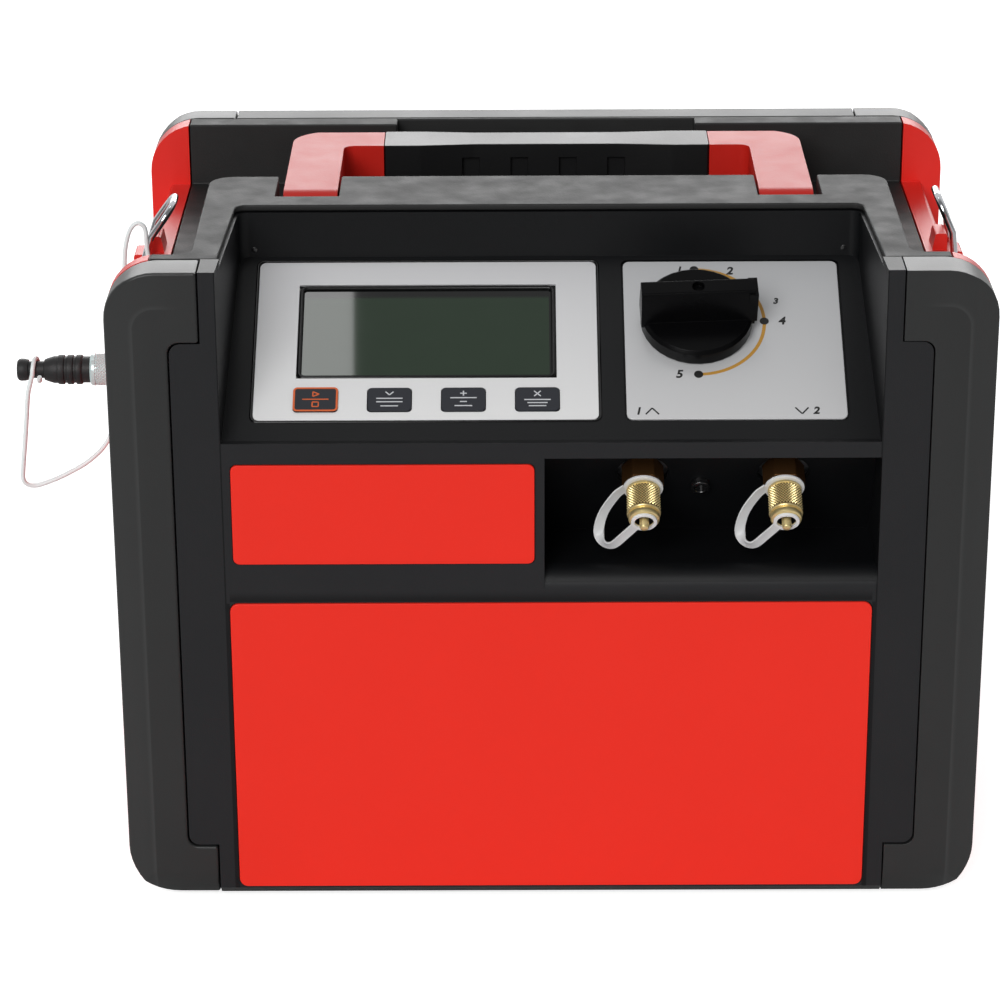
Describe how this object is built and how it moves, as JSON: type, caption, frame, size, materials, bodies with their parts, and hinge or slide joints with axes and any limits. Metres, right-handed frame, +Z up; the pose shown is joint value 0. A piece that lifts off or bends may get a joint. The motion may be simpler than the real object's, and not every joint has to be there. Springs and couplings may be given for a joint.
{
  "type": "refrigerant recovery machine",
  "caption": "Portable refrigerant recovery machine: boxy plastic housing with corner guards, folding handle, sloped display console, selector knob and capped brass hose ports.",
  "frame": {"origin": "on the ground under the middle of the housing, between the four feet", "axes": "+X to the right of someone facing the console, +Y from the console to the back, +Z up"},
  "size_m": [0.4521, 0.264, 0.315],
  "materials": {
    "black_plastic": "finely textured black ABS",
    "red_plastic": "satin red ABS",
    "red_film": "semi-gloss printed polycarbonate",
    "silver_plate": "satin silver overlay",
    "lcd_glass": "clear display window",
    "dark_display": "dark green display",
    "circuit_board": "green solder mask",
    "grey_key": "dark grey key film",
    "brass": "bright turned brass",
    "chrome": "bright plated wire",
    "clear_nylon": "translucent nylon",
    "rubber": "matte black rubber",
    "steel": "plain steel",
    "aluminium": "cast and machined aluminium",
    "copper": "bent copper tube"
  },
  "bodies": {
    "machine": {"front_fascia": "black_plastic", "main_housing": "black_plastic", "rear_cover": "black_plastic", "left_side_shell": "red_plastic", "right_side_shell": "red_plastic", "front_guard_left": "black_plastic", "front_guard_right": "black_plastic", "rear_guard_left": "black_plastic", "rear_guard_right": "black_plastic", "base_plate": "steel", "foot_front_left": "rubber", "foot_front_right": "rubber", "foot_rear_left": "rubber", "foot_rear_right": "rubber", "front_panel": "red_film", "label_plate": "red_film", "display_bezel": "silver_plate", "lcd_window": "lcd_glass", "lcd_module": "dark_display", "control_board": "circuit_board", "valve_plate": "silver_plate", "valve_manifold": "aluminium", "inlet_fitting": "brass", "outlet_fitting": "brass", "inlet_cap_strap": "clear_nylon", "outlet_cap_strap": "clear_nylon", "handle_pin_left": "steel", "handle_pin_right": "steel", "sensor_socket": "steel", "bypass_plug": "rubber", "plug_tether": "clear_nylon", "crankcase": "aluminium", "cylinder_left": "aluminium", "cylinder_right": "aluminium", "shaft_bearing": "steel", "motor_housing": "aluminium", "motor_stator": "steel", "condenser": "aluminium", "suction_pipe": "copper", "discharge_pipe": "copper", "return_pipe": "copper", "power_inlet": "rubber"},
    "handle": {"handle_frame": "red_plastic", "handle_grip": "rubber"},
    "selector": {"selector_knob": "black_plastic", "valve_stem": "steel"},
    "first_key": {"key_1": "grey_key"},
    "second_key": {"key_2": "grey_key"},
    "third_key": {"key_3": "grey_key"},
    "fourth_key": {"key_4": "grey_key"},
    "inlet_cap_body": {"inlet_cap": "brass"},
    "outlet_cap_body": {"outlet_cap": "brass"},
    "left_ring": {"strap_ring_left": "chrome"},
    "right_ring": {"strap_ring_right": "chrome"},
    "nut": {"plug_nut": "steel"},
    "crank": {"crankshaft": "steel", "motor_rotor": "steel", "fan": "black_plastic"},
    "left_rod": {"piston_rod_left": "aluminium"},
    "right_rod": {"piston_rod_right": "aluminium"}
  },
  "joints": [
    {"name": "handle_lift", "type": "hinge", "parent": "machine", "child": "handle", "pos_m": [0, -0.0048, 0.3037], "axis": [1, 0, 0], "range_deg": [0, 90]},
    {"name": "selector_turn", "type": "hinge", "parent": "machine", "child": "selector", "pos_m": [0.068, -0.0676, 0.26919], "axis": [0, -0.515, 0.8572], "range_deg": [-90, 90]},
    {"name": "key_1_press", "type": "slide", "parent": "machine", "child": "first_key", "axis": [0, 0.515, -0.8572], "range_m": [0, 0.0005], "stiffness_N_per_m": 400, "springref_m": -0.0005},
    {"name": "key_2_press", "type": "slide", "parent": "machine", "child": "second_key", "axis": [0, 0.515, -0.8572], "range_m": [0, 0.0005], "stiffness_N_per_m": 400, "springref_m": -0.0005},
    {"name": "key_3_press", "type": "slide", "parent": "machine", "child": "third_key", "axis": [0, 0.515, -0.8572], "range_m": [0, 0.0005], "stiffness_N_per_m": 400, "springref_m": -0.0005},
    {"name": "key_4_press", "type": "slide", "parent": "machine", "child": "fourth_key", "axis": [0, 0.515, -0.8572], "range_m": [0, 0.0005], "stiffness_N_per_m": 400, "springref_m": -0.0005},
    {"name": "inlet_cap_turn", "type": "hinge", "parent": "machine", "child": "inlet_cap_body", "pos_m": [0.0425, -0.10318, 0.208], "axis": [0, -0.8572, -0.515], "continuous": true},
    {"name": "outlet_cap_turn", "type": "hinge", "parent": "machine", "child": "outlet_cap_body", "pos_m": [0.1074, -0.10318, 0.208], "axis": [0, -0.8572, -0.515], "continuous": true},
    {"name": "strap_ring_left_swing", "type": "hinge", "parent": "machine", "child": "left_ring", "pos_m": [-0.1938, 0, 0.2785], "axis": [0, -1, 0], "range_deg": [0, 150]},
    {"name": "strap_ring_right_swing", "type": "hinge", "parent": "machine", "child": "right_ring", "pos_m": [0.1938, 0, 0.2785], "axis": [0, 1, 0], "range_deg": [0, 150]},
    {"name": "plug_nut_turn", "type": "hinge", "parent": "machine", "child": "nut", "pos_m": [-0.205, -0.052, 0.241], "axis": [-1, 0, 0], "continuous": true},
    {"name": "crank_spin", "type": "hinge", "parent": "machine", "child": "crank", "pos_m": [-0.035, 0, 0.098], "axis": [0, 1, 0], "continuous": true},
    {"name": "left_rod_orbit", "type": "hinge", "parent": "crank", "child": "left_rod", "pos_m": [-0.035, -0.05515, 0.101], "axis": [0, 1, 0], "continuous": true},
    {"name": "right_rod_orbit", "type": "hinge", "parent": "crank", "child": "right_rod", "pos_m": [-0.035, -0.04685, 0.101], "axis": [0, 1, 0], "continuous": true}
  ],
  "couplings": [
    {"joint": "left_rod_orbit", "follows": "crank_spin", "ratio": -1},
    {"joint": "right_rod_orbit", "follows": "crank_spin", "ratio": -1}
  ]
}
